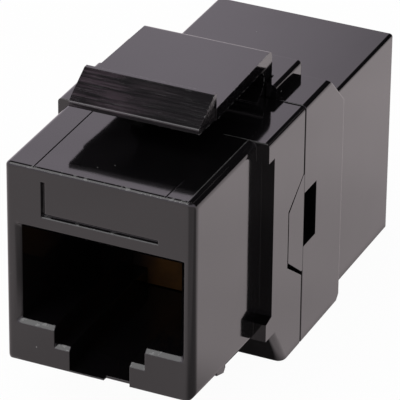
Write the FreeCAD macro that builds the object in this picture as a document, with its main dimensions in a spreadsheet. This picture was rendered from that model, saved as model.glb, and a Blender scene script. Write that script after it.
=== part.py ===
import FreeCAD, Part
import os
import re
import Sketcher

# Keystone coupler: two plastic housings snapped together at a seam, with a sprung latch on top and a
# stepped modular socket at each end. Inside, a board joins two sets of eight spring contacts.
# Frame: +X to the right seen from the front, +Y from the front face to the rear, +Z up.
# The origin is midway along the length, on the underside of the flange.
# Setbacks are measured from the front face, and heights from the underside of the front block.

DIMENSIONS = [
    ("total_length", 36.2, "front face to rear face"),
    ("face_width", 14.78, "width of the front block"),
    ("face_height", 16.0, "height of the front block"),
    ("block_drop", 3.86, "underside of the front block above the flange underside"),
    ("underside_fall", 0.8, "fall of the front block's underside from the front face to the seam"),
    ("corner_round", 0.62, "radius along the right corners and right upright of the front block"),
    ("left_round", 0.4, "radius along the left corners and left upright of the front block"),
    ("front_round", 0.3, "radius along the top edge of the front face"),
    ("flange_width", 16.79, "width of the flange"),
    ("flange_setback", 11.4, "front face to the flange wall"),
    ("flange_end_setback", 24.14, "front face to the rear of the flange"),
    ("flange_round", 0.35, "radius along the top edges of the flange"),
    ("rear_left_round", 0.8, "radius along the upper left edge of the flange behind the seam"),
    ("flange_base_round", 0.12, "radius along the bottom edges of the flange"),
    ("bevel_round", 0.6, "radius between the bevel under the flange and its sides"),
    ("pad_thickness", 1.0, "how far the panel pads stand ahead of the flange wall"),
    ("top_pad_height", 1.6, "height of the upper panel pads"),
    ("bottom_pad_height", 1.4, "height of the lower panel pads"),
    ("pad_slope", 0.25, "rise of the lower pad's top over its thickness"),
    ("bevel_rise", 3.53, "height of the bevel under the flange"),
    ("bevel_run", 2.3, "depth of the bevel under the flange"),
    ("seam_setback", 16.8, "front face to the seam"),
    ("seam_gap", 0.18, "gap between the housings at the seam"),
    ("seam_round", 0.06, "radius along the edges at the seam"),
    ("catch_setback", 4.36, "front face to the foot of the fixed catch under the front block"),
    ("catch_ramp", 1.15, "length of the front slope of the fixed catch"),
    ("catch_back", 0.3, "length of the rear slope of the fixed catch"),
    ("catch_drop", 0.3, "depth of the fixed catch"),
    ("catch_margin", 0.13, "side margin of the fixed catch"),
    ("panel_slot", 1.92, "slot for the panel between the latch hook and the pads"),
    ("wall", 1.2, "wall of the housings"),
    ("hump_left", 5.2, "middle to the left end of the hump on the rear housing"),
    ("hump_right", 6.0, "middle to the right end of the hump"),
    ("hump_height", 1.1, "height of the hump above the flange top"),
    ("hump_end_setback", 21.5, "front face to the rear of the hump"),
    ("hump_round", 0.3, "radius along the upper edges of the hump"),
    ("top_chamfer", 2.74, "chamfer at the upper rear edge of the flange"),
    ("heel_chamfer", 0.5, "chamfer at the lower rear edge of the flange"),
    ("roof_margin", 0.3, "top chamfer to the rear of the room under it"),
    ("rear_width", 14.71, "width of the rear block"),
    ("rear_height", 16.97, "height of the rear block"),
    ("rear_round", 0.12, "radius along the rear and lower edges of the rear block"),
    ("rear_top_round", 0.25, "radius along the upper corners of the rear block"),
    ("port_width", 12.53, "width of the socket"),
    ("port_top", 10.88, "top of the socket above the block underside"),
    ("port_depth", 13.0, "depth of the socket"),
    ("shoulder_height", 3.37, "shoulders of the socket above the block underside"),
    ("step_width", 7.19, "width of the step between the shoulders"),
    ("step_height", 1.93, "step above the block underside"),
    ("key_width", 4.79, "width of the keyway"),
    ("key_floor", 0.48, "wall under the keyway"),
    ("port_bevel", 0.4, "bevel along the top and sides of the socket's mouth"),
    ("shoulder_bevel", 0.3, "bevel along the shoulders and steps of the socket's mouth"),
    ("lip_edge", 0.1, "thickness of the lip at the mouth of the front keyway"),
    ("lip_run", 2.5, "length of the slope behind the lip"),
    ("relief_start", 0.35, "middle to the relief in the lip"),
    ("relief_depth", 0.4, "depth of the relief in the lip"),
    ("rear_port_drop", 1.9, "how far the rear socket lies below the front one"),
    ("latch_width", 10.2, "width of the latch nose"),
    ("plate_width", 10.5, "width of the latch plate behind the nose"),
    ("plate_taper", 0.23, "how far each side of the latch plate draws in towards its rear"),
    ("lip_setback", 5.52, "front face to the lip of the latch"),
    ("latch_rise", 2.23, "underside of the latch above the block top"),
    ("lip_height", 0.44, "height of the latch lip"),
    ("ramp_rise", 1.56, "rise of the latch ramp"),
    ("crest_flat", 0.35, "flat on top of the ramp"),
    ("arm_thickness", 0.98, "thickness of the latch plate"),
    ("heel_round", 0.6, "radius along the upper rear edge of the latch"),
    ("latch_round", 0.15, "radius along the edges of the latch nose"),
    ("root_fillet", 0.8, "radius between the latch plate and its post"),
    ("root_reach", 1.55, "seam to the rear of the latch root"),
    ("pivot_reach", 0.7, "seam to the bending line of the latch"),
    ("pivot_rise", 1.05, "bending line above the block top"),
    ("post_thickness", 1.2, "thickness of the latch post"),
    ("pivot_clearance", 0.05, "gap round the foot of the latch post"),
    ("saddle_rise", 0.95, "rim of the latch saddle above the block top"),
    ("flare_radius", 1.9, "concave flare in front of the latch saddle"),
    ("root_clearance", 0.08, "gap round the latch root in the hump"),
    ("tongue_length", 2.5, "length of the side tongues ahead of the seam"),
    ("tongue_root_height", 8.05, "height of the side tongues at the seam"),
    ("tongue_tip_height", 4.15, "height of the side tongues at the tip"),
    ("tongue_centre", 6.37, "middle of the side tongues above the block underside"),
    ("tongue_thickness", 1.05, "thickness of the side tongues"),
    ("tongue_inset", 0.02, "side of the flange to the outer face of the side tongues"),
    ("tongue_backing", 0.745, "wall between the side tongues and the room behind the sockets"),
    ("tongue_clearance", 0.2, "gap round the side tongues"),
    ("tongue_lower_gap", 0.32, "gap under the side tongues"),
    ("barb_depth", 0.35, "how far the tongue barbs reach inward"),
    ("barb_length", 1.2, "length of the tongue barbs"),
    ("barb_height", 2.0, "height of the tongue barbs"),
    ("barb_margin", 0.4, "tongue tip to the tip of the barb"),
    ("barb_root", 0.3, "how deep the tongue barbs are rooted"),
    ("window_length", 2.23, "length of the side windows"),
    ("window_height", 4.5, "height of the side windows"),
    ("window_centre", 6.58, "middle of the side windows above the block underside"),
    ("window_margin", 0.2, "seam to the side windows"),
    ("mark_width", 0.32, "width of the engraved line on the front face"),
    ("mark_bevel", 0.08, "bevel along the foot of the engraved line"),
    ("mark_depth", 0.35, "depth of the engraved line"),
    ("mark_left", 4.545, "engraved corner left of the middle"),
    ("mark_right", 4.6, "end of the engraved line right of the middle"),
    ("mark_base", 12.17, "engraved corner above the block underside"),
    ("mark_top", 15.0, "end of the engraved upright above the block underside"),
    ("line_place", 5.13, "middle to the fine lines on top of the front block"),
    ("line_width", 0.12, "width of the fine lines"),
    ("line_depth", 0.06, "depth of the fine lines"),
    ("contact_pitch", 1.016, "spacing of the contacts"),
    ("contact_width", 0.4, "width of a contact"),
    ("contact_thickness", 0.3, "thickness of a contact"),
    ("contact_lift", 0.3, "middle of the contacts above the top of the socket"),
    ("contact_bend", 0.5, "radius of the contact bend"),
    ("contact_setback", 3.4, "socket mouth to the middle of the contact bend"),
    ("contact_leg", 6.2, "length of the sloping leg of a contact"),
    ("contact_slope", 24.0, "slope of the leg of a contact in degrees"),
    ("pin_reach", 0.25, "how far the contact pins stand out of the board"),
    ("groove_clearance", 0.05, "gap round the contacts in their grooves"),
    ("shelf_height", 1.4, "height of the shelf that holds the contacts"),
    ("shelf_width", 10.4, "width of the shelf that holds the contacts"),
    ("shelf_setback", 2.2, "socket mouth to the front of the shelf"),
    ("block_clearance", 0.1, "gap round the contact blocks"),
    ("front_block_wall", 1.35, "thickness of the wall of the front contact block"),
    ("rear_block_wall", 6.75, "thickness of the wall of the rear contact block"),
    ("board_gap", 0.65, "front contact block to the board"),
    ("rear_board_gap", 0.25, "board to the rear contact block"),
    ("board_thickness", 1.2, "thickness of the board"),
    ("board_top", 13.5, "top of the board above the block underside"),
    ("board_bottom", 1.0, "bottom of the board above the block underside"),
    ("board_clearance", 0.1, "gap beside the board"),
    ("pin_hole", 0.6, "diameter of the pin holes in the board"),
    ("overlap", 0.5, "length by which a cut runs past the face it opens"),
]
CONTACT_COUNT = 8

doc = FreeCAD.newDocument("keystone_coupler")
sheet = doc.addObject("Spreadsheet::Sheet", "Sizes")
for row, (alias, value, meaning) in enumerate(DIMENSIONS, start=1):
    sheet.set("A%d" % row, meaning)
    sheet.set("B%d" % row, str(value))
    sheet.setAlias("B%d" % row, alias)
doc.recompute()


# Places that several pieces share
def back(setback):
    """Y of a place given by its setback from the front face."""
    return "(%s - total_length / 2)" % setback


def lift(height):
    """Z of a place given by its height above the underside of the front block."""
    return "(block_drop + %s)" % height


FRONT = back("0")
REAR = back("total_length")
BLOCK_TOP = lift("face_height")
PAD_FRONT = back("flange_setback - pad_thickness")
SEAM = back("seam_setback")
REAR_SEAM = back("seam_setback + seam_gap")
SOCKET_END = back("port_depth")
BOARD_SETBACK = "(port_depth + front_block_wall + board_gap)"
REAR_WALL_SETBACK = "(%s + board_thickness + rear_board_gap)" % BOARD_SETBACK
REAR_PORT_DEPTH = "(total_length - %s - rear_block_wall)" % REAR_WALL_SETBACK
REAR_SOCKET_END = back("total_length - %s" % REAR_PORT_DEPTH)
HOOK = back("flange_setback - pad_thickness - panel_slot")
LATCH_BOTTOM = lift("face_height + latch_rise")
PLATE_TOP = lift("face_height + latch_rise + arm_thickness")
PIVOT_SETBACK = "(seam_setback + pivot_reach)"
PIVOT_Y = back(PIVOT_SETBACK)
PIVOT_Z = lift("face_height + pivot_rise")
ROOT_END_SETBACK = "(seam_setback + root_reach)"
HUMP_TOP = lift("face_height + hump_height")
TONGUE_INNER = "(flange_width / 2 - tongue_thickness)"
ROOM_WIDTH = "(2 * %s - 2 * tongue_backing)" % TONGUE_INNER
FRONT_BASE = lift("0")
REAR_BASE = lift("-rear_port_drop")


# Drawing helpers
def size(text):
    """Expression in which each alias is read from the sheet."""
    return re.sub(r"\b(?!cos\b|sin\b|tan\b)([a-z]+(?:_[a-z]+)*)\b", r"Sizes.\1", text)


def number(text):
    """Present value of an expression."""
    return float(sheet.evalExpression(size(text)))


def bind(piece, values):
    """Bind properties of a piece to expressions."""
    for name, text in values.items():
        piece.setExpression(name, size(text))


def slab(name, x, y, z):
    """Box between three pairs of places."""
    box = doc.addObject("Part::Box", name)
    bind(box, {
        "Length": "(%s) - (%s)" % (x[1], x[0]),
        "Width": "(%s) - (%s)" % (y[1], y[0]),
        "Height": "(%s) - (%s)" % (z[1], z[0]),
        "Placement.Base.x": x[0],
        "Placement.Base.y": y[0],
        "Placement.Base.z": z[0],
    })
    return box


def middle(width):
    """Pair of places that lie evenly about the middle plane."""
    return ("-(%s) / 2" % width, "(%s) / 2" % width)


def rod(name, radius, width, y, z):
    """Cylinder across the part."""
    cylinder = doc.addObject("Part::Cylinder", name)
    cylinder.Placement.Rotation = FreeCAD.Rotation(FreeCAD.Vector(0, 1, 0), 90)
    bind(cylinder, {
        "Radius": radius,
        "Height": width,
        "Placement.Base.x": "-(%s) / 2" % width,
        "Placement.Base.y": y,
        "Placement.Base.z": z,
    })
    return cylinder


def fix_point(sketch, line, end, point):
    """Tie one end of a sketch line to a pair of expressions."""
    for kind, text in zip(("DistanceX", "DistanceY"), point):
        index = sketch.addConstraint(Sketcher.Constraint(kind, -1, 1, line, end, number(text)))
        sketch.setExpression("Constraints[%d]" % index, size(text))


def add_sketch(body, role, offset):
    """Empty sketch on one of the body's own planes, moved along the plane's normal."""
    sketch = body.newObject("Sketcher::SketchObject", body.Name + "_outline")
    support = next(item for item in body.Origin.OriginFeatures if item.Role == role)
    sketch.AttachmentSupport = [(support, "")]
    sketch.MapMode = "FlatFace"
    bind(sketch, {"AttachmentOffset.Base.z": offset})
    return sketch


def add_pad(body, sketch, length):
    """Pad of a closed sketch along its normal."""
    pad = body.newObject("PartDesign::Pad", body.Name + "_pad")
    pad.Profile = sketch
    bind(pad, {"Length": length})
    body.Tip = pad
    doc.recompute()
    return pad


def prism(name, role, corners, start, end):
    """Body with straight sides between two places along the axis that its plane faces."""
    body = doc.addObject("PartDesign::Body", name)
    # The XZ plane faces backwards along -Y, so its sketch stands at the far end.
    offset = "-(%s)" % end if role == "XZ_Plane" else start
    sketch = add_sketch(body, role, offset)
    places = [FreeCAD.Vector(number(a), number(b), 0) for a, b in corners]
    for index, place in enumerate(places):
        following = places[(index + 1) % len(places)]
        sketch.addGeometry(Part.LineSegment(place, following), False)
    for index, corner in enumerate(corners):
        before = (index - 1) % len(corners)
        sketch.addConstraint(Sketcher.Constraint("Coincident", before, 2, index, 1))
        fix_point(sketch, index, 1, corner)
    add_pad(body, sketch, "(%s) - (%s)" % (end, start))
    return body


def runs_along(edge, axis):
    """True for a straight edge parallel to an axis."""
    return isinstance(edge.Curve, Part.Line) and abs(edge.Curve.Direction.dot(axis)) > 1 - 1e-6


def lies_at(place, x=None, y=None, z=None):
    """True for a middle of an edge that lies at the given places."""
    return all(wanted is None or abs(have - wanted) < 1e-6 for have, wanted in zip(place, (x, y, z)))


def round_edges(body, radius, chosen):
    """Fillet on the edges of the body's tip that a test picks."""
    base = body.Tip
    names = ["Edge%d" % (index + 1) for index, edge in enumerate(base.Shape.Edges) if chosen(edge)]
    fillet = body.newObject("PartDesign::Fillet", body.Name + "_round")
    fillet.Base = (base, names)
    bind(fillet, {"Radius": radius})
    body.Tip = fillet
    doc.recompute()
    return body


def joined(name, pieces):
    """Union of several pieces."""
    union = doc.addObject("Part::MultiFuse", name)
    union.Shapes = pieces
    union.Refine = True
    return union


def without(name, base, tools):
    """Piece with several others taken out of it."""
    cut = doc.addObject("Part::Cut", name)
    cut.Base = base
    cut.Tool = tools[0] if len(tools) == 1 else joined(name + "_tools", tools)
    cut.Refine = True
    return cut


def mirrored(piece):
    """Copy of a piece on the other side of the middle plane."""
    copy = doc.addObject("Part::Mirroring", piece.Name + "_mirrored")
    copy.Source = piece
    copy.Normal = FreeCAD.Vector(1, 0, 0)
    return copy


ACROSS = FreeCAD.Vector(1, 0, 0)
ALONG = FreeCAD.Vector(0, 1, 0)


# Socket shapes that both housings share
def socket_cuts(name, mouth, end, base, lip):
    """Stepped socket with its keyway, bevelled mouth and pocket for the contact shelf.

    The mouth and end are places along Y, base is the height that the socket is measured from,
    and lip is the place where the shelf's pocket begins behind the mouth.
    """
    top = "(%s + port_top)" % base
    levels = ["(%s + %s)" % (base, height) for height in ("shoulder_height", "step_height", "key_floor")]
    half = ["%s / 2" % width for width in ("port_width", "step_width", "key_width")]
    right = [
        (half[2], levels[2]),
        (half[2], levels[1]),
        (half[1], levels[1]),
        (half[1], levels[0]),
        (half[0], levels[0]),
        (half[0], top),
    ]
    left = [("-" + x, z) for x, z in reversed(right)]
    forward = mouth == FRONT
    outside = "%s %s overlap" % (mouth, "-" if forward else "+")
    near, far = (outside, end) if forward else (end, outside)
    hollow = prism(name + "_hollow", "XZ_Plane", right + left, near, far)

    def flare(label, depth, at_mouth, inside):
        """Cut that runs from its half width and heights at the mouth to those at a depth inside."""
        wedge = doc.addObject("Part::Wedge", name + label)
        first, second = (at_mouth, inside) if forward else (inside, at_mouth)
        for mark, (half_width, low, high) in (("", first), ("2", second)):
            bind(wedge, {
                "X%smin" % mark: "-(%s)" % half_width,
                "X%smax" % mark: half_width,
                "Z%smin" % mark: low,
                "Z%smax" % mark: high,
            })
        bind(wedge, {
            "Ymin": mouth if forward else "%s - %s" % (mouth, depth),
            "Ymax": "%s + %s" % (mouth, depth) if forward else mouth,
        })
        return wedge

    wide = "port_width / 2 + port_bevel"
    bevels = [
        flare("_bevel", "port_bevel", (wide, levels[0], "%s + port_bevel" % top), (half[0], levels[0], top)),
    ]
    for label, level, outer, inner in (
        ("_shoulder_bevel", levels[0], wide, "%s - shoulder_bevel" % wide),
        ("_step_bevel", levels[1], half[1], half[1]),
    ):
        bevels.append(flare(
            label,
            "shoulder_bevel",
            (outer, "%s - shoulder_bevel" % level, level),
            (inner, level, "%s + shoulder_bevel" % level),
        ))
    pocket = slab(
        name + "_shelf_pocket",
        middle("shelf_width + 2 * block_clearance"),
        (lip, end) if forward else (end, lip),
        ("%s - overlap" % top, "%s + shelf_height + block_clearance" % top),
    )
    return [hollow, pocket] + bevels


# Side tongues: the outline is shared by the tongues and their notches
def tongue_outline(clearance, lower_gap, root):
    """Corners of the tongue in the side view, grown by a clearance."""
    middle_z = lift("tongue_centre")
    tip = back("seam_setback - tongue_length - %s" % clearance)
    top_tip = "%s + tongue_tip_height / 2 + %s" % (middle_z, clearance)
    top_root = "%s + tongue_root_height / 2 + %s" % (middle_z, clearance)
    low_tip = "%s - tongue_tip_height / 2 - %s" % (middle_z, lower_gap)
    low_root = "%s - tongue_root_height / 2 - %s" % (middle_z, lower_gap)
    return [
        (tip, low_tip),
        (SEAM, low_root),
        (root, low_root),
        (root, top_root),
        (SEAM, top_root),
        (tip, top_tip),
    ]


def round_flange(flange, seam, left_radius):
    """Round the long edges of a flange half, then its rim at the seam."""
    top = number(BLOCK_TOP)

    def long_edge(edge, height):
        return runs_along(edge, ALONG) and lies_at(edge.CenterOfMass, z=height)

    round_edges(flange, left_radius, lambda edge: long_edge(edge, top) and edge.CenterOfMass.x < 0)
    round_edges(flange, "flange_round", lambda edge: long_edge(edge, top) and edge.CenterOfMass.x > 0)
    round_edges(flange, "flange_base_round", lambda edge: long_edge(edge, 0))
    round_edges(flange, "seam_round", lambda edge: lies_at(edge.CenterOfMass, y=seam))


def block_half(name, start, end, side, radius):
    """Half of the front block, with its outer corners rounded by a radius of its own."""
    half = prism(
        name,
        "YZ_Plane",
        [(FRONT, lift("0")), (SEAM, lift("-underside_fall")), (SEAM, BLOCK_TOP), (FRONT, BLOCK_TOP)],
        start,
        end,
    )
    outer = number(side)
    face = number(FRONT)
    top = number(BLOCK_TOP)
    seam = number(SEAM)

    def outer_corner(edge):
        place = edge.CenterOfMass
        return lies_at(place, x=outer) and not lies_at(place, y=seam)

    def top_edge(edge):
        return runs_along(edge, ACROSS) and lies_at(edge.CenterOfMass, y=face, z=top)

    round_edges(half, radius, outer_corner)
    round_edges(half, "front_round", top_edge)
    return half


def front_housing():
    """Front block, front half of the flange and saddle of the latch."""
    left_half = block_half("left_half", "-face_width / 2", "0", "-face_width / 2", "left_round")
    right_half = block_half("right_half", "0", "face_width / 2", "face_width / 2", "corner_round")

    wall = back("flange_setback")
    flange = prism(
        "front_flange",
        "YZ_Plane",
        [
            (PAD_FRONT, BLOCK_TOP),
            (SEAM, BLOCK_TOP),
            (SEAM, "0"),
            (back("flange_setback + bevel_run"), "0"),
            (wall, "bevel_rise"),
            (PAD_FRONT, "bevel_rise"),
            (PAD_FRONT, "bevel_rise + bottom_pad_height"),
            (wall, "bevel_rise + bottom_pad_height + pad_slope"),
            (wall, lift("face_height - top_pad_height")),
            (PAD_FRONT, lift("face_height - top_pad_height")),
        ],
        "-flange_width / 2",
        "flange_width / 2",
    )
    bevel_middle = number("bevel_rise / 2")
    bevel_side = number("flange_width / 2")

    def bevel_edge(edge):
        place = edge.CenterOfMass
        return lies_at(place, z=bevel_middle) and abs(abs(place.x) - bevel_side) < 1e-6

    round_edges(flange, "bevel_round", bevel_edge)
    round_flange(flange, number(SEAM), "flange_round")

    def underside(setback):
        return lift("-underside_fall * (%s) / seam_setback" % setback)

    catch_peak = "catch_setback + catch_ramp"
    catch_end = "catch_setback + catch_ramp + catch_back"
    catch = prism(
        "fixed_catch",
        "YZ_Plane",
        [
            (back("catch_setback"), lift("key_floor")),
            (back("catch_setback"), underside("catch_setback")),
            (back(catch_peak), "%s - catch_drop" % underside(catch_peak)),
            (back(catch_end), underside(catch_end)),
            (back(catch_end), lift("key_floor")),
        ],
        "catch_margin - face_width / 2",
        "face_width / 2 - catch_margin",
    )
    root = slab(
        "latch_root",
        middle("latch_width"),
        (back("%s - flare_radius" % PIVOT_SETBACK), back(ROOT_END_SETBACK)),
        (lift("face_height - wall"), lift("face_height + saddle_rise")),
    )
    saddle_width = "latch_width + 2 * overlap"
    flare_reach = "post_thickness / 2 + pivot_clearance + flare_radius + root_clearance"
    flare_y = back("%s - (%s)" % (PIVOT_SETBACK, flare_reach))
    flare = rod("saddle_flare", "flare_radius", saddle_width, flare_y, lift("face_height + flare_radius"))
    groove = rod("saddle_groove", "post_thickness / 2 + pivot_clearance", saddle_width, PIVOT_Y, PIVOT_Z)
    saddle = without("latch_saddle", root, [flare, groove])

    body = joined("front_solid", [left_half, right_half, flange, catch, saddle])

    room = slab(
        "front_room",
        middle(ROOM_WIDTH),
        (SOCKET_END, "%s + overlap" % SEAM),
        (lift("key_floor"), lift("face_height - wall")),
    )
    well = slab(
        "front_well",
        middle(ROOM_WIDTH),
        (back("flange_setback + bevel_run + wall"), "%s + overlap" % SEAM),
        ("wall", lift("key_floor + overlap")),
    )
    shelf_front = back("shelf_setback - block_clearance")
    sockets = socket_cuts("front_socket", FRONT, SOCKET_END, FRONT_BASE, shelf_front)
    notch = prism(
        "tongue_notch",
        "YZ_Plane",
        tongue_outline("tongue_clearance", "tongue_lower_gap", "%s + overlap" % SEAM),
        "%s - tongue_clearance" % TONGUE_INNER,
        "flange_width / 2 + overlap",
    )
    barb_tip = "seam_setback - tongue_length + barb_margin"
    pocket = slab(
        "barb_pocket",
        ("%s / 2" % ROOM_WIDTH, TONGUE_INNER),
        (back("%s - tongue_clearance" % barb_tip), back("%s + barb_length + tongue_clearance" % barb_tip)),
        (
            lift("tongue_centre - barb_height / 2 - tongue_clearance"),
            lift("tongue_centre + barb_height / 2 + tongue_clearance"),
        ),
    )
    mark_end = "%s + mark_depth" % FRONT
    upright = slab(
        "mark_upright",
        ("-mark_left", "mark_width - mark_left"),
        (FRONT, mark_end),
        (lift("mark_base"), lift("mark_top")),
    )
    level = prism(
        "mark_level",
        "YZ_Plane",
        [
            (FRONT, lift("mark_base - mark_bevel")),
            ("%s + mark_bevel" % FRONT, lift("mark_base")),
            (mark_end, lift("mark_base")),
            (mark_end, lift("mark_base + mark_width")),
            (FRONT, lift("mark_base + mark_width")),
        ],
        "-mark_left",
        "mark_right",
    )
    lip_slope = prism(
        "lip_slope",
        "YZ_Plane",
        [
            ("%s - overlap" % FRONT, lift("lip_edge")),
            (FRONT, lift("lip_edge")),
            ("%s + lip_run" % FRONT, lift("key_floor")),
            ("%s - overlap" % FRONT, lift("key_floor")),
        ],
        "-key_width / 2",
        "key_width / 2",
    )
    relief = slab(
        "lip_relief",
        ("relief_start", "key_width / 2"),
        ("%s - overlap" % FRONT, "%s + relief_depth" % FRONT),
        (lift("-overlap"), lift("key_floor")),
    )
    line = slab(
        "fine_line",
        ("line_place - line_width / 2", "line_place + line_width / 2"),
        (FRONT, PAD_FRONT),
        ("%s - line_depth" % BLOCK_TOP, "%s + overlap" % BLOCK_TOP),
    )
    cuts = sockets + [room, well, notch, mirrored(notch), pocket, mirrored(pocket)]
    cuts += [upright, level, lip_slope, relief, line, mirrored(line)]
    return without("front_housing", body, cuts)


def rear_housing():
    """Rear half of the flange with its hump and tongues, and the rear block."""
    end = back("flange_end_setback")
    flange = prism(
        "rear_flange",
        "YZ_Plane",
        [
            (REAR_SEAM, "0"),
            (back("flange_end_setback - heel_chamfer"), "0"),
            (end, "heel_chamfer"),
            (end, "%s - top_chamfer" % BLOCK_TOP),
            (back("flange_end_setback - top_chamfer"), BLOCK_TOP),
            (REAR_SEAM, BLOCK_TOP),
        ],
        "-flange_width / 2",
        "flange_width / 2",
    )
    round_flange(flange, number(REAR_SEAM), "rear_left_round")

    hump = prism(
        "hump",
        "XZ_Plane",
        [
            ("-hump_left", "%s - wall" % BLOCK_TOP),
            ("hump_right", "%s - wall" % BLOCK_TOP),
            ("hump_right", HUMP_TOP),
            ("-hump_left", HUMP_TOP),
        ],
        REAR_SEAM,
        back("hump_end_setback"),
    )
    crest = number(HUMP_TOP)

    def crest_edge(edge):
        return runs_along(edge, ALONG) and lies_at(edge.CenterOfMass, z=crest)

    round_edges(hump, "hump_round", crest_edge)

    half = "rear_width / 2"
    block = prism(
        "rear_block",
        "XZ_Plane",
        [("-" + half, "0"), (half, "0"), (half, "rear_height"), ("-" + half, "rear_height")],
        back("flange_end_setback - wall"),
        REAR,
    )
    face = number(REAR)

    crown = number("rear_height")

    def upper_edge(edge):
        return runs_along(edge, ALONG) and lies_at(edge.CenterOfMass, z=crown)

    def outer_edge(edge):
        place = edge.CenterOfMass
        return lies_at(place, y=face) or (runs_along(edge, ALONG) and lies_at(place, z=0))

    round_edges(block, "rear_top_round", upper_edge)
    round_edges(block, "rear_round", outer_edge)

    tongue = prism(
        "side_tongue",
        "YZ_Plane",
        tongue_outline("0", "0", back("seam_setback + wall")),
        TONGUE_INNER,
        "flange_width / 2 - tongue_inset",
    )
    barb_tip = back("seam_setback - tongue_length + barb_margin")
    barb_heel = back("seam_setback - tongue_length + barb_margin + barb_length")
    inner = "%s - barb_depth" % TONGUE_INNER
    barb = prism(
        "tongue_barb",
        "XY_Plane",
        [(TONGUE_INNER, barb_tip), ("%s + barb_root" % TONGUE_INNER, barb_heel), (inner, barb_heel)],
        lift("tongue_centre - barb_height / 2"),
        lift("tongue_centre + barb_height / 2"),
    )
    body = joined("rear_solid", [flange, hump, block, tongue, mirrored(tongue), barb, mirrored(barb)])

    window = slab(
        "side_window",
        middle("flange_width + overlap"),
        (back("seam_setback + window_margin"), back("seam_setback + window_margin + window_length")),
        (lift("window_centre - window_height / 2"), lift("window_centre + window_height / 2")),
    )
    room_high = slab(
        "rear_room_high",
        middle(ROOM_WIDTH),
        ("%s - overlap" % SEAM, back("flange_end_setback - top_chamfer - roof_margin")),
        ("wall", lift("face_height - wall")),
    )
    room_low = slab(
        "rear_room_low",
        middle(ROOM_WIDTH),
        ("%s - overlap" % SEAM, REAR_SOCKET_END),
        ("wall", "rear_height - wall"),
    )
    slot = slab(
        "root_slot",
        middle("latch_width + 2 * root_clearance"),
        ("%s - overlap" % SEAM, back("%s + root_clearance" % ROOT_END_SETBACK)),
        (lift("face_height - wall - overlap"), lift("face_height + hump_height + overlap")),
    )
    lip = back("total_length - shelf_setback + block_clearance")
    sockets = socket_cuts("rear_socket", REAR, REAR_SOCKET_END, REAR_BASE, lip)
    return without("rear_housing", body, sockets + [window, room_high, room_low, slot])


def latch_arm():
    """Nose with lip, ramp and hook, tapered plate, and post that bends at its foot."""
    ramp_top = lift("face_height + latch_rise + lip_height + ramp_rise")
    rear = back(ROOT_END_SETBACK)
    post_front = back("%s - post_thickness / 2" % PIVOT_SETBACK)
    post_rear = back("%s + post_thickness / 2" % PIVOT_SETBACK)
    heel_bottom = "%s + pivot_clearance" % HUMP_TOP
    crest = "%s - crest_flat" % HOOK
    nose = prism(
        "latch_nose",
        "YZ_Plane",
        [
            (back("lip_setback"), LATCH_BOTTOM),
            (back("lip_setback"), lift("face_height + latch_rise + lip_height")),
            (crest, ramp_top),
            (HOOK, ramp_top),
            (HOOK, LATCH_BOTTOM),
        ],
        "-latch_width / 2",
        "latch_width / 2",
    )
    crest_y = number(crest)
    round_edges(
        nose,
        "latch_round",
        lambda edge: runs_along(edge, ACROSS) and edge.CenterOfMass.y < crest_y + 1e-6,
    )

    plate = prism(
        "latch_plate",
        "YZ_Plane",
        [
            (crest, LATCH_BOTTOM),
            (crest, PLATE_TOP),
            (rear, PLATE_TOP),
            (rear, heel_bottom),
            (post_rear, heel_bottom),
            (post_rear, PIVOT_Z),
            (post_front, PIVOT_Z),
            (post_front, LATCH_BOTTOM),
        ],
        "-plate_width / 2",
        "plate_width / 2",
    )
    heel_corner = (number(rear), number(PLATE_TOP))
    root_corner = (number(post_front), number(LATCH_BOTTOM))

    def crosses(edge, corner):
        return runs_along(edge, ACROSS) and lies_at(edge.CenterOfMass, y=corner[0], z=corner[1])

    round_edges(plate, "heel_round", lambda edge: crosses(edge, heel_corner))
    round_edges(plate, "root_fillet", lambda edge: crosses(edge, root_corner))
    taper = prism(
        "plate_side",
        "XY_Plane",
        [
            ("plate_width / 2", crest),
            ("plate_width / 2 + overlap", crest),
            ("plate_width / 2 + overlap", "%s + overlap" % rear),
            ("plate_width / 2 - plate_taper", "%s + overlap" % rear),
            ("plate_width / 2 - plate_taper", rear),
        ],
        "%s - overlap" % PIVOT_Z,
        "%s + overlap" % PLATE_TOP,
    )
    arm = without("tapered_plate", plate, [taper, mirrored(taper)])
    foot = rod("latch_foot", "post_thickness / 2", "plate_width - 2 * plate_taper", PIVOT_Y, PIVOT_Z)
    return joined("latch_arm", [nose, arm, foot])


def contact_place(index):
    """X of the middle of a contact."""
    return "(contact_pitch * %s)" % (index - (CONTACT_COUNT - 1) / 2)


def contact_block(name, mouth_setback, inward, base, depth, thickness):
    """Insert with a wall at the depth of the socket and a grooved shelf above it."""
    def place(distance):
        return back("%s %s (%s)" % (mouth_setback, inward, distance))

    def span(near, far):
        return (place(near), place(far)) if inward == "+" else (place(far), place(near))

    wall_end = "%s + %s" % (depth, thickness)
    shelf_bottom = "%s + port_top + block_clearance" % base
    shelf_top = "%s + port_top + shelf_height" % base
    wall = slab(
        name + "_wall",
        middle("%s - 2 * block_clearance" % ROOM_WIDTH),
        span("%s + block_clearance" % depth, wall_end),
        ("%s + key_floor + block_clearance" % base, shelf_top),
    )
    shelf = slab(
        name + "_shelf",
        middle("shelf_width"),
        span("shelf_setback", wall_end),
        (shelf_bottom, shelf_top),
    )
    grooves = []
    reach = "contact_width / 2 + groove_clearance"
    for index in range(CONTACT_COUNT):
        middle_x = contact_place(index)
        grooves.append(slab(
            "%s_groove_%d" % (name, index + 1),
            ("%s - (%s)" % (middle_x, reach), "%s + %s" % (middle_x, reach)),
            span("shelf_setback - overlap", "%s + overlap" % wall_end),
            (
                "%s + port_top + contact_lift - contact_thickness / 2 - contact_bend" % base,
                "%s + port_top + contact_lift + contact_thickness / 2 + groove_clearance" % base,
            ),
        ))
    return without(name, joined(name + "_solid", [wall, shelf]), grooves)


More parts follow.
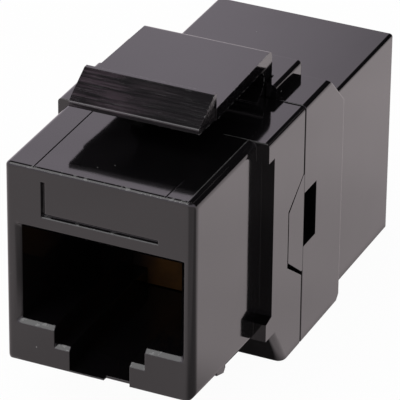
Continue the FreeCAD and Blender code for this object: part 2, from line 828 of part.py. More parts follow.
def circuit_board():
    """Board with two rows of pin holes."""
    board = slab(
        "board_blank",
        middle("%s - 2 * board_clearance" % ROOM_WIDTH),
        (back(BOARD_SETBACK), back("%s + board_thickness" % BOARD_SETBACK)),
        (lift("board_bottom"), lift("board_top")),
    )
    holes = []
    for row, height in enumerate(("port_top + contact_lift", "port_top + contact_lift - rear_port_drop")):
        for index in range(CONTACT_COUNT):
            hole = doc.addObject("Part::Cylinder", "pin_hole_%d_%d" % (row + 1, index + 1))
            hole.Placement.Rotation = FreeCAD.Rotation(FreeCAD.Vector(1, 0, 0), -90)
            bind(hole, {
                "Radius": "pin_hole / 2",
                "Height": "board_thickness + 2 * overlap",
                "Placement.Base.x": contact_place(index),
                "Placement.Base.y": back("%s - overlap" % BOARD_SETBACK),
                "Placement.Base.z": lift(height),
            })
            holes.append(hole)
    return without("circuit_board", board, holes)


def spring_contact(name, index, mouth_setback, inward, base, pin_setback):
    """Strip bent back on itself: a straight run to the board, a bend and a sloping leg."""
    body = doc.addObject("PartDesign::Body", name)
    start = "%s - contact_width / 2" % contact_place(index)
    sketch = add_sketch(body, "YZ_Plane", start)
    outward = "-" if inward == "+" else "+"
    bend_y = back("%s %s contact_setback" % (mouth_setback, inward))
    bend_z = "(%s + port_top + contact_lift - contact_bend)" % base

    def side(radius):
        """Ends of the run, the point furthest out on the bend, and the ends of the leg."""
        low_y = "(%s %s %s * sin(contact_slope))" % (bend_y, outward, radius)
        low_z = "(%s - %s * cos(contact_slope))" % (bend_z, radius)
        tip_y = "%s %s contact_leg * cos(contact_slope)" % (low_y, inward)
        tip_z = "%s - contact_leg * sin(contact_slope)" % low_z
        return [
            (back(pin_setback), "%s + %s" % (bend_z, radius)),
            (bend_y, "%s + %s" % (bend_z, radius)),
            ("%s %s %s" % (bend_y, outward, radius), bend_z),
            (low_y, low_z),
            (tip_y, tip_z),
        ]

    chains = []
    for radius in ("(contact_bend + contact_thickness / 2)", "(contact_bend - contact_thickness / 2)"):
        corners = side(radius)
        pin, top, bulge, low, tip = [FreeCAD.Vector(number(y), number(z), 0) for y, z in corners]
        run = sketch.addGeometry(Part.LineSegment(pin, top), False)
        bend = sketch.addGeometry(Part.Arc(top, bulge, low), False)
        leg = sketch.addGeometry(Part.LineSegment(low, tip), False)
        for line, end, corner in ((run, 1, 0), (run, 2, 1), (leg, 1, 3), (leg, 2, 4)):
            fix_point(sketch, line, end, corners[corner])
        starts_on_top = sketch.getPoint(bend, 1).isEqual(top, 1e-6)
        upper, lower = (1, 2) if starts_on_top else (2, 1)
        sketch.addConstraint(Sketcher.Constraint("Tangent", run, 2, bend, upper))
        sketch.addConstraint(Sketcher.Constraint("Coincident", leg, 1, bend, lower))
        chains.append((run, leg, pin, tip))
    (outer_run, outer_leg, outer_pin, outer_tip), (inner_run, inner_leg, inner_pin, inner_tip) = chains
    for first, second, begin, finish, end in (
        (outer_run, inner_run, outer_pin, inner_pin, 1),
        (outer_leg, inner_leg, outer_tip, inner_tip, 2),
    ):
        cap = sketch.addGeometry(Part.LineSegment(begin, finish), False)
        sketch.addConstraint(Sketcher.Constraint("Coincident", first, end, cap, 1))
        sketch.addConstraint(Sketcher.Constraint("Coincident", second, end, cap, 2))
    add_pad(body, sketch, "contact_width")
    return body


pieces = [
    front_housing(),
    rear_housing(),
    latch_arm(),
    circuit_board(),
    contact_block("front_contact_block", "0", "+", FRONT_BASE, "port_depth", "front_block_wall"),
    contact_block("rear_contact_block", "total_length", "-", REAR_BASE, REAR_PORT_DEPTH, "rear_block_wall"),
]
for index in range(CONTACT_COUNT):
    front_pin = "%s + board_thickness + pin_reach" % BOARD_SETBACK
    rear_pin = "%s - pin_reach" % BOARD_SETBACK
    front_name = "front_contact_%d" % (index + 1)
    rear_name = "rear_contact_%d" % (index + 1)
    pieces.append(spring_contact(front_name, index, "0", "+", FRONT_BASE, front_pin))
    pieces.append(spring_contact(rear_name, index, "total_length", "-", REAR_BASE, rear_pin))
doc.recompute()

for item in doc.Objects:
    if "Invalid" in item.State or "Error" in item.State:
        raise RuntimeError("%s failed: %s" % (item.Name, item.State))
os.makedirs("parts", exist_ok=True)
for piece in pieces:
    piece.Label = piece.Name
    shape = piece.Shape
    if shape.isNull() or not shape.isValid():
        raise RuntimeError("%s has no valid shape" % piece.Label)
    print(piece.Label, len(shape.Solids), round(shape.Volume, 2), shape.BoundBox)
    shape.exportStep("parts/%s.step" % piece.Label)
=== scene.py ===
import math

import bmesh
import bpy
from mathutils import Matrix, Vector


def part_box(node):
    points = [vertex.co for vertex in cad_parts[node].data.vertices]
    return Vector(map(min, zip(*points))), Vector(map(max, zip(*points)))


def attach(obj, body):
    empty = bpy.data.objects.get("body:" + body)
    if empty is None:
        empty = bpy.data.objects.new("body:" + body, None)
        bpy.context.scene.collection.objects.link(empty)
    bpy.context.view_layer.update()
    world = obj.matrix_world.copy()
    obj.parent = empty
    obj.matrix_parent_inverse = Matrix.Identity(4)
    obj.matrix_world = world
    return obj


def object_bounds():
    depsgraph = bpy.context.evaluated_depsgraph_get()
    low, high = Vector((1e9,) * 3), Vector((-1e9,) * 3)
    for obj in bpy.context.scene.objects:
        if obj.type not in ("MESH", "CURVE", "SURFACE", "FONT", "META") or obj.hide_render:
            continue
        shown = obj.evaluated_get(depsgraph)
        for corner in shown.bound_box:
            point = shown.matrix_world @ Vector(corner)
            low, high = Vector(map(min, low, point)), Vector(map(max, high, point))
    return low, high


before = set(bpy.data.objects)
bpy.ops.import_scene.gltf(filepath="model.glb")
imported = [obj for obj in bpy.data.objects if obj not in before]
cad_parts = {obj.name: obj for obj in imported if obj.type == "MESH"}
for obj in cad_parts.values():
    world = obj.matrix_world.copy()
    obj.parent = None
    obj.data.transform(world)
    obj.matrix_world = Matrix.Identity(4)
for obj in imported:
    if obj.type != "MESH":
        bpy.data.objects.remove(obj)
CAD_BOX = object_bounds()

bl_info = {
    "name": "Keystone coupler",
    "version": (1, 0, 0),
    "blender": (4, 5, 0),
    "location": "View3D > Sidebar > Coupler",
    "description": "Dresses a snap-in panel coupler in polished black plastic and sets the studio round it",
    "category": "Object",
}

MM = 0.001
WHITE = (1.0, 1.0, 1.0, 1.0)

# Image side in pixels, sensor width in millimetres, near clip as a share of the distance, far clip in floors
IMAGE_SIDE = 400
SENSOR = 36.0
NEAR_CLIP = 0.05
FAR_CLIP = 2.0

# Parts that are named or measured here
INSERTS = ("front_contact_block", "rear_contact_block")
CONTACT_THICKNESS = 0.3 * MM
CONE_SIDES = 20

# Cells of the patterns to the millimetre, along each axis where there are three
SMUDGE_CELLS = 0.45
WAVE_CELLS = 0.16
SKIN_CELLS = 5.0
WITNESS_AND_HIGHLIGHT_BREAK_CELLS = 2.5
TOOL_MARK_CELLS = (0.12, 5.0, 5.0)
BLOTCH_CELLS = (0.4, 1.6, 1.6)
SCUFF_CELLS = (0.7, 9.0, 9.0)
SATIN_CELLS = 9.0
PATCH_CELLS = 0.6
ROLLING_CELLS = (14.0, 0.5, 3.0)
TARNISH_CELLS = 1.1
FROST_CELLS = 6.0

# Limits of the streaks of painted sheen in the product of two noises, and how far the patches strengthen the
# amber
STREAK_RANGE = (0.13, 0.40)
AMBER_GAIN = 2

# Samples of the rounded normals, and half the width of the ceiling's edge in the sine of its height
FLECK_SAMPLES = 4
EDGE_SAMPLES = 8
CORNER_SAMPLES = 16
CEILING_SOFTNESS = 0.04


def contact_row(end):
    """Names of the spring contacts at one end, in order."""
    start = end + "_contact_"
    return tuple(sorted(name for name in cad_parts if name.startswith(start) and name[-1].isdigit()))


FRONT_CONTACTS = contact_row("front")
REAR_CONTACTS = contact_row("rear")


# Shader maths
class Value:
    """Output of a node. Arithmetic on it adds Math nodes."""

    def __init__(self, graph, socket):
        self.graph = graph
        self.socket = socket

    def math(self, operation, *others):
        """Math node with this value first."""
        sockets = dict(enumerate((self, *others)))
        return self.graph.node("ShaderNodeMath", {"operation": operation}, sockets)

    def after(self, operation, first):
        """Math node with this value second."""
        return self.graph.node("ShaderNodeMath", {"operation": operation}, {0: first, 1: self})

    def most(self, other):
        """The greater of two values."""
        return self.math("MAXIMUM", other)

    def __add__(self, other):
        return self.math("ADD", other)

    __radd__ = __add__

    def __sub__(self, other):
        return self.math("SUBTRACT", other)

    def __rsub__(self, other):
        return self.after("SUBTRACT", other)

    def __mul__(self, other):
        return self.math("MULTIPLY", other)

    __rmul__ = __mul__

    def __truediv__(self, other):
        return self.math("DIVIDE", other)

    def __rtruediv__(self, other):
        return self.after("DIVIDE", other)

    def __lt__(self, other):
        return self.math("LESS_THAN", other)

    def __gt__(self, other):
        return self.math("GREATER_THAN", other)

    def __abs__(self):
        return self.math("ABSOLUTE")


class Graph:
    """Node tree of a material or a world."""

    def __init__(self, tree):
        self.tree = tree
        tree.nodes.clear()

    def node(self, kind, settings=None, sockets=None, output=0):
        """Add a node: its settings first, then the values or links of its sockets."""
        made = self.tree.nodes.new(kind)
        for name, setting in (settings or {}).items():
            setattr(made, name, setting)
        for key, value in (sockets or {}).items():
            if isinstance(value, Value):
                self.tree.links.new(value.socket, made.inputs[key])
            else:
                made.inputs[key].default_value = value
        if isinstance(output, tuple):
            return [Value(self, made.outputs[key]) for key in output]
        return Value(self, made.outputs[output]) if made.outputs else None

    def place(self):
        """Object coordinates in millimetres."""
        metres = self.node("ShaderNodeTexCoord", output="Object")
        return self.node("ShaderNodeVectorMath", {"operation": "SCALE"}, {0: metres, "Scale": 1 / MM})

    def split(self, vector, axes="XYZ"):
        """Parts of a vector along the named axes."""
        return self.node("ShaderNodeSeparateXYZ", sockets={0: vector}, output=tuple(axes))

    def noise(self, vector, cells, detail=2.0):
        """Noise from 0 to 1 with a number of cells to the unit."""
        sockets = {"Vector": vector, "Scale": cells, "Detail": detail}
        return self.node("ShaderNodeTexNoise", {"noise_dimensions": "3D"}, sockets)

    def streaks(self, vector, cells, detail):
        """Noise from 0 to 1 with its own number of cells along each axis."""
        stretched = self.node("ShaderNodeVectorMath", {"operation": "MULTIPLY"}, {0: vector, 1: cells})
        return self.noise(stretched, 1.0, detail)

    def between(self, value, low, high):
        """Smooth step from 0 at one number to 1 at the other."""
        sockets = {"Value": value, "From Min": low, "From Max": high}
        return self.node("ShaderNodeMapRange", {"interpolation_type": "SMOOTHSTEP"}, sockets)

    def mixed(self, share, first, second):
        """Mix of two vectors."""
        return self.node("ShaderNodeMix", {"data_type": "VECTOR"}, {0: share, 4: first, 5: second}, 1)

    def blend(self, share, first, second):
        """Mix of two colours."""
        return self.node("ShaderNodeMix", {"data_type": "RGBA"}, {0: share, 6: first, 7: second}, 2)

    def surface(self):
        """Normal of the bare surface."""
        return self.node("ShaderNodeNewGeometry", output="Normal")

    def bevel(self, radius, samples):
        """Normal of the surface with its edges rounded."""
        return self.node("ShaderNodeBevel", {"samples": samples}, {"Radius": radius})

    def bump(self, height, **normal):
        """Normal of the surface raised by a height in metres."""
        return self.node("ShaderNodeBump", sockets={"Height": height, "Distance": 1.0, **normal})


def opaque(colour):
    """Colour with full alpha."""
    return (*colour, 1.0)


# Finishes
def new_finish(name):
    """Empty material and its graph."""
    material = bpy.data.materials.new(name)
    material.use_nodes = True
    return material, Graph(material.node_tree)


def close_finish(graph, sockets):
    """End a graph in one Principled shader."""
    shader = graph.node("ShaderNodeBsdfPrincipled", sockets=sockets)
    graph.node("ShaderNodeOutputMaterial", sockets={"Surface": shader})


def dust_specks(graph, place, finish):
    """Mask of scattered specks."""
    distance, random_colour = graph.node(
        "ShaderNodeTexVoronoi",
        sockets={"Vector": place, "Scale": finish.dust_density},
        output=("Distance", "Color"),
    )
    pick, girth = graph.split(random_colour, "XY")
    return (pick > 1 - finish.dust_share) * (distance < girth * finish.dust_size)


def edge_flecks(graph, place, finish):
    """Mask of ragged flecks along sharp edges."""
    sides = {0: graph.surface(), 1: graph.bevel(finish.fleck_reach, FLECK_SAMPLES)}
    match = graph.node("ShaderNodeVectorMath", {"operation": "DOT_PRODUCT"}, sides, "Value")
    ragged = graph.noise(place, finish.fleck_density, detail=3.0) > 1 - finish.fleck_share
    return (match < finish.fleck_turn) * ragged * finish.fleck_strength


def rim_highlight_flecks(graph, place, face, finish):
    """Mask of ragged painted highlight flecks on the rims of the front face that look upwards, above the
    keyway's floor.
    """
    along, up = graph.split(place, "YZ")
    (tilt,) = graph.split(graph.surface(), "Z")
    rim = (along > face + finish.rim_start / MM) * (along < face + finish.rim_end / MM)
    rim = rim * (tilt > finish.rim_tilt) * (up > finish.rim_floor / MM)
    ragged = graph.noise(place, finish.rim_density, detail=4.0) > 1 - finish.rim_share
    return rim * ragged * finish.rim_strength


def witness_line_and_highlight(graph, place, front_end, finish):
    """Mask of the fine witness line across the top at the rear of the block, and of a painted highlight line
    along its right corner, where the fillet starts.
    """
    across, along = graph.split(place, "XY")
    rear = (abs(along - front_end) < finish.witness_and_highlight_width / MM) * (abs(across) > finish.witness_start / MM)
    # Painted highlight: a pale line on the right corner only, where the fillet starts
    right = (abs(across - finish.corner_highlight_reach / MM) < finish.witness_and_highlight_width / MM) * (along < front_end)
    broken = graph.noise(place, WITNESS_AND_HIGHLIGHT_BREAK_CELLS)
    return rear.most(right) * finish.witness_and_highlight_strength * broken


def soft_corners(graph, place, face, front_end, finish):
    """Mask of the block's uprights and of the flange's lower front corners."""
    across, along, up = graph.split(place)
    side = abs(across) > finish.upright_start / MM
    upright = side * (along < face + finish.upright_depth / MM)
    foot = side * (along > front_end) * (along < front_end + finish.foot_depth / MM)
    return upright + foot * (up < finish.foot_height / MM)


def moulded_plastic(name, finish, front=None, rear_start=None, ramp_end=None):
    """Polished plastic with faint waves, smudges and dust.

    A front housing is given the height of its top and the depths of its face and of the end of its block.
    It has sink marks, a fine witness line and a painted highlight line on its top, painted highlight flecks
    on the upward rims of its face, rounder edges on its block and soft corners. A rear housing has rounder
    edges behind the depth rear_start. A latch has ragged flecks along its edges, and tool marks on its ramp,
    ahead of the depth ramp_end, whose streaks are coloured with a painted sheen that is stronger on the left.
    """
    material, graph = new_finish(name)
    place = graph.place()
    across, along, up = graph.split(place)
    smudges = graph.noise(place, SMUDGE_CELLS, detail=4.0)
    waves = graph.noise(place, WAVE_CELLS, detail=1.0)
    height = waves * finish.wave_height + graph.noise(place, SKIN_CELLS) * finish.skin_height
    roughness = finish.gloss_roughness + smudges * finish.smudge
    colour = graph.blend(smudges, opaque(finish.plastic_colour), opaque(finish.plastic_pale))
    specks = dust_specks(graph, place, finish)
    rounded = graph.bevel(finish.edge_round, EDGE_SAMPLES)
    if front is not None:
        top, face, front_end = front
        skin = up > top - finish.sink_skin / MM
        height = height + skin * graph.noise(place, finish.sink_density, detail=0.0) * finish.sink_height
        # Witness line across the top, and painted highlight line along its right corner
        specks = specks.most(skin * witness_line_and_highlight(graph, place, front_end, finish))
        # Painted highlight flecks on the rims of the face that look upwards
        specks = specks.most(rim_highlight_flecks(graph, place, face, finish))
        block = (along < front_end) * (1 - skin)
        rounded = graph.mixed(block, rounded, graph.bevel(finish.block_round, EDGE_SAMPLES))
        corners = soft_corners(graph, place, face, front_end, finish) * (1 - skin)
        rounded = graph.mixed(corners, rounded, graph.bevel(finish.upright_round, CORNER_SAMPLES))
    if rear_start is not None:
        rounded = graph.mixed(along > rear_start, rounded, graph.bevel(finish.block_round, EDGE_SAMPLES))
    if ramp_end is not None:
        specks = specks.most(edge_flecks(graph, place, finish))
        ramp = along < ramp_end
        marks = graph.streaks(place, TOOL_MARK_CELLS, detail=4.0)
        blotches = graph.streaks(place, BLOTCH_CELLS, detail=3.0)
        height = height + ramp * marks * finish.tool_mark_height
        roughness = roughness + ramp * marks * finish.tool_mark_roughness
        # Painted sheen: the tool-mark streaks are coloured pale purple, more strongly towards the left of the
        # ramp
        worn = graph.between(0 - across, finish.sheen_start / MM, finish.sheen_full / MM) + finish.sheen_least
        worn = worn * graph.between(marks * blotches, *STREAK_RANGE)
        colour = graph.blend(ramp * worn, colour, opaque(finish.streak_sheen_colour))
        scuffs = graph.streaks(place, SCUFF_CELLS, detail=3.0) > 1 - finish.scuff_share
        specks = specks.most(ramp * scuffs * finish.scuff_strength)
    close_finish(graph, {
        # Dust, edge flecks and scuffs share this pale colour with the painted highlight flecks and line
        "Base Color": graph.blend(specks, colour, opaque(finish.dust_and_highlight_colour)),
        "Roughness": roughness + specks * finish.dust_roughness,
        "IOR": finish.plastic_ior,
        "Normal": graph.bump(height, Normal=rounded),
    })
    return material


def satin_plastic(name, finish):
    """Unpolished plastic of the contact blocks, amber in the middle and darkened towards the ends by painted
    shade.
    """
    material, graph = new_finish(name)
    place = graph.place()
    grain = graph.noise(place, SATIN_CELLS, detail=3.0)
    patches = graph.noise(place, PATCH_CELLS, detail=3.0)
    (across,) = graph.split(place, "X")
    # Painted shade: the amber fades to near-black towards the ends of each block
    amber = 1 - graph.between(abs(across), finish.amber_full / MM, finish.amber_end / MM)
    amber = amber * patches * AMBER_GAIN
    close_finish(graph, {
        "Base Color": graph.blend(amber, opaque(finish.insert_shade_colour), opaque(finish.amber_colour)),
        "Roughness": finish.satin_roughness + patches * finish.smudge,
        "IOR": finish.insert_ior,
        "Normal": graph.bump(grain * finish.grain_height),
    })
    return material


def gold_plating(name, finish):
    """Gold-plated spring strip with rolling lines along its length."""
    material, graph = new_finish(name)
    place = graph.place()
    lines = graph.streaks(place, ROLLING_CELLS, detail=3.0)
    tarnish = graph.noise(place, TARNISH_CELLS, detail=4.0)
    close_finish(graph, {
        "Base Color": graph.blend(tarnish, opaque(finish.gold_colour), opaque(finish.gold_deep)),
        "Roughness": finish.gold_roughness + lines * finish.smudge,
        "Metallic": 1.0,
        "Normal": graph.bump(lines * finish.grain_height),
    })
    return material


def solder_tin(name, finish):
    """Bright solder with a slightly frosted skin."""
    material, graph = new_finish(name)
    frost = graph.noise(graph.place(), FROST_CELLS, detail=4.0)
    close_finish(graph, {
        "Base Color": graph.blend(frost, opaque(finish.solder_colour), opaque(finish.solder_dull)),
        "Roughness": finish.gold_roughness + frost * finish.smudge,
        "Metallic": 1.0,
    })
    return material


def board_laminate(name, finish, rows, pitch):
    """Solder mask over a glass weave, with a bare ring round each pin hole of the rows."""
    material, graph = new_finish(name)
    across, up = graph.split(graph.place(), "XZ")
    turn = 2 * math.pi / finish.weave_pitch * MM
    weave = (across * turn).math("SINE") * (up * turn).math("SINE")
    step = (across / (pitch / MM)).math("FLOORED_MODULO", 1.0)
    offset = (step - 0.5) * (pitch / MM)
    ring = None
    for height in rows:
        rise = up - height / MM
        reach = (offset * offset + rise * rise).math("SQRT")
        near = reach < finish.ring_radius / MM
        ring = near if ring is None else ring + near
    mask = graph.blend(weave * 0.5 + 0.5, opaque(finish.board_colour), opaque(finish.board_pale))
    close_finish(graph, {
        "Base Color": graph.blend(ring, mask, opaque(finish.solder_colour)),
        "Metallic": ring,
        "Roughness": finish.satin_roughness,
        "Normal": graph.bump(weave * finish.grain_height),
    })
    return material


def dress(node, material):
    """Give a node of the frame its finish."""
    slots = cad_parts[node].data.materials
    slots.clear()
    slots.append(material)


# Settings
def colour_prop(name, description, default):
    """Colour that a user may change."""
    return bpy.props.FloatVectorProperty(
        name=name, description=description, subtype="COLOR", size=3, default=default,
    )


def share_prop(name, description, default):
    """Number from 0 to 1."""
    return bpy.props.FloatProperty(
        name=name, description=description, subtype="FACTOR", default=default, min=0.0, max=1.0,
    )


def length_prop(name, description, millimetres):
    """Length in metres, given here in millimetres."""
    return bpy.props.FloatProperty(
        name=name, description=description, unit="LENGTH", default=millimetres * MM, precision=6,
    )


def angle_prop(name, description, degrees):
    """Angle in radians, given here in degrees."""
    return bpy.props.FloatProperty(
        name=name, description=description, subtype="ANGLE", default=math.radians(degrees),
    )


def number_prop(name, description, default):
    """Plain number."""
    return bpy.props.FloatProperty(name=name, description=description, default=default)


class CouplerFinish(bpy.types.PropertyGroup):
    """Colours and surface sizes of the materials."""

    plastic_colour: colour_prop("Plastic", "Colour of the housings", (0.0018, 0.0017, 0.0021))
    plastic_pale: colour_prop(
        "Plastic, smudged", "Colour of the housings where they are smudged", (0.0038, 0.0034, 0.0038),
    )
    plastic_ior: number_prop("Refraction", "Index of refraction of the plastic", 1.55)
    gloss_roughness: share_prop("Polish", "Roughness of the polished housings", 0.055)
    smudge: share_prop("Smudge", "How much smudges and lines change the roughness", 0.05)
    wave_height: length_prop("Waves", "Height of the broad waves of the skin", 0.012)
    skin_height: length_prop("Skin", "Height of the fine grain of the skin", 0.0002)
    edge_round: length_prop("Edge rounding", "Radius at which sharp moulded edges catch light", 0.02)
    block_round: length_prop(
        "Block edge rounding", "Radius at which the edges of the front and rear blocks catch light", 0.1,
    )
    upright_round: length_prop(
        "Upright rounding", "Radius at which the uprights and the flange's lower corners are softened", 0.35,
    )
    upright_start: length_prop("Upright start", "Middle to the soft part of the block's uprights", 6.3)
    upright_depth: length_prop("Upright depth", "Front face to the end of the soft uprights", 1.2)
    foot_depth: length_prop("Foot depth", "Panel pads to the end of the flange's soft lower corner", 3.0)
    foot_height: length_prop("Foot height", "Height of the flange's soft lower corner", 2.6)
    sink_height: length_prop("Sink marks", "Depth of the sink marks in the top of the front housing", 0.016)
    sink_skin: length_prop("Sink skin", "Depth below the top that has sink marks and lines", 0.1)
    sink_density: number_prop("Sink density", "Sink marks to the millimetre", 0.28)
    # The fine line along the right corner of the top is a painted highlight; the one across it is a witness
    # line
    witness_and_highlight_width: length_prop("Witness line", "Half the width of the fine lines on the top", 0.03)
    witness_start: length_prop("Witness start", "Middle of the top to the fine line across it", 4.8)
    corner_highlight_reach: length_prop("Witness reach", "Middle of the top to the fine line along its right", 6.75)
    witness_and_highlight_strength: share_prop("Witness strength", "How strongly the fine lines show", 0.5)
    # The rim flecks are painted highlights on the rims of the front face that look upwards
    rim_start: length_prop("Rim start", "Front face to the start of the flecks on its rims", 0.04)
    rim_end: length_prop("Rim end", "Front face to the end of the flecks on its rims", 0.34)
    rim_tilt: number_prop("Rim tilt", "Upward part of the normal above which a rim has flecks", 0.3)
    rim_floor: length_prop("Rim floor", "Height above which the rims have flecks", 5.0)
    rim_density: number_prop("Rim fleck density", "Cells of the rim flecks to the millimetre", 2.2)
    rim_share: share_prop("Rim fleck share", "How much of the rims has flecks", 0.42)
    rim_strength: share_prop("Rim fleck strength", "How strongly the rim flecks show", 0.35)
    tool_mark_height: length_prop("Tool marks", "Height of the marks on the latch ramp", 0.008)
    tool_mark_roughness: share_prop(
        "Tool mark roughness", "Roughness that the marks on the latch ramp add", 0.12,
    )
    # The colour of the ramp's streaks is a painted sheen over the real tool marks, stronger on the left
    sheen_start: length_prop(
        "Wear start", "Middle to the start of the wear on the left of the latch ramp", -4.0,
    )
    sheen_full: length_prop("Wear full", "Middle to the full wear on the left of the latch ramp", 6.0)
    sheen_least: share_prop("Wear, least", "Share of the wear on the right of the latch ramp", 0.08)
    streak_sheen_colour: colour_prop("Wear", "Colour of the worn streaks on the latch ramp", (0.045, 0.031, 0.040))
    scuff_share: share_prop("Scuff share", "How much of the latch ramp is scuffed", 0.36)
    scuff_strength: share_prop("Scuff strength", "How strongly the scuffs on the latch ramp show", 0.05)
    fleck_reach: length_prop("Fleck reach", "How far flecks reach from a sharp edge", 0.08)
    fleck_turn: number_prop(
        "Fleck turn", "Likeness of the rounded and the flat normal below which flecks show", 0.98,
    )
    fleck_density: number_prop("Fleck density", "Cells of the flecks to the millimetre", 3.5)
    fleck_share: share_prop("Fleck share", "How much of the edges has flecks", 0.44)
    fleck_strength: share_prop("Fleck strength", "How strongly the flecks show", 0.6)
    dust_density: number_prop("Dust density", "Dust cells to the millimetre", 1.0)
    dust_share: share_prop("Dust share", "Share of the cells that hold a speck", 0.2)
    dust_size: number_prop("Dust size", "Largest radius of a speck in cells", 0.05)
    dust_roughness: share_prop("Dust roughness", "Roughness that a speck adds", 0.6)
    # Pale colour of the dust, also used for the painted highlight flecks and line
    dust_and_highlight_colour: colour_prop("Dust", "Colour of the dust", (0.25, 0.25, 0.25))
    # The near-black end colour of the contact blocks is painted shade
    insert_shade_colour: colour_prop(
        "Contact blocks", "Colour of the ends of the contact blocks", (0.004, 0.002, 0.001),
    )
    amber_colour: colour_prop("Amber", "Colour of the middle of the contact blocks", (0.090, 0.040, 0.007))
    amber_full: length_prop(
        "Amber full", "Middle of a contact block to where its amber starts to fade", 0.6,
    )
    amber_end: length_prop("Amber end", "Middle of a contact block to the end of its amber", 3.4)
    insert_ior: number_prop("Contact block refraction", "Index of refraction of the contact blocks", 1.35)
    satin_roughness: share_prop("Satin", "Roughness of the contact blocks and the board", 0.42)
    grain_height: length_prop("Grain", "Height of the grain of the inner parts", 0.004)
    gold_colour: colour_prop("Gold", "Colour of the contacts", (0.86, 0.60, 0.22))
    gold_deep: colour_prop("Gold, worn", "Colour of the contacts where they are worn", (0.62, 0.38, 0.12))
    gold_roughness: share_prop("Metal polish", "Roughness of the contacts and the solder", 0.25)
    solder_colour: colour_prop("Solder", "Colour of the solder", (0.72, 0.72, 0.70))
    solder_dull: colour_prop("Solder, dull", "Colour of the frosted solder", (0.50, 0.50, 0.49))
    board_colour: colour_prop("Board", "Colour of the solder mask", (0.012, 0.060, 0.030))
    board_pale: colour_prop(
        "Board weave", "Colour of the solder mask over the weave", (0.020, 0.085, 0.042),
    )
    weave_pitch: length_prop("Weave pitch", "Pitch of the glass weave of the board", 0.5)
    ring_radius: length_prop("Solder ring", "Radius of the bare ring round a pin hole", 0.42)


class CouplerSolder(bpy.types.PropertyGroup):
    """Sizes of the solder joints."""

    foot: length_prop("Foot", "Radius of a solder joint on the board", 0.40)
    neck: length_prop("Neck", "Radius of a solder joint at its pin", 0.24)
    height: length_prop("Height", "Height of a solder joint", 0.20)


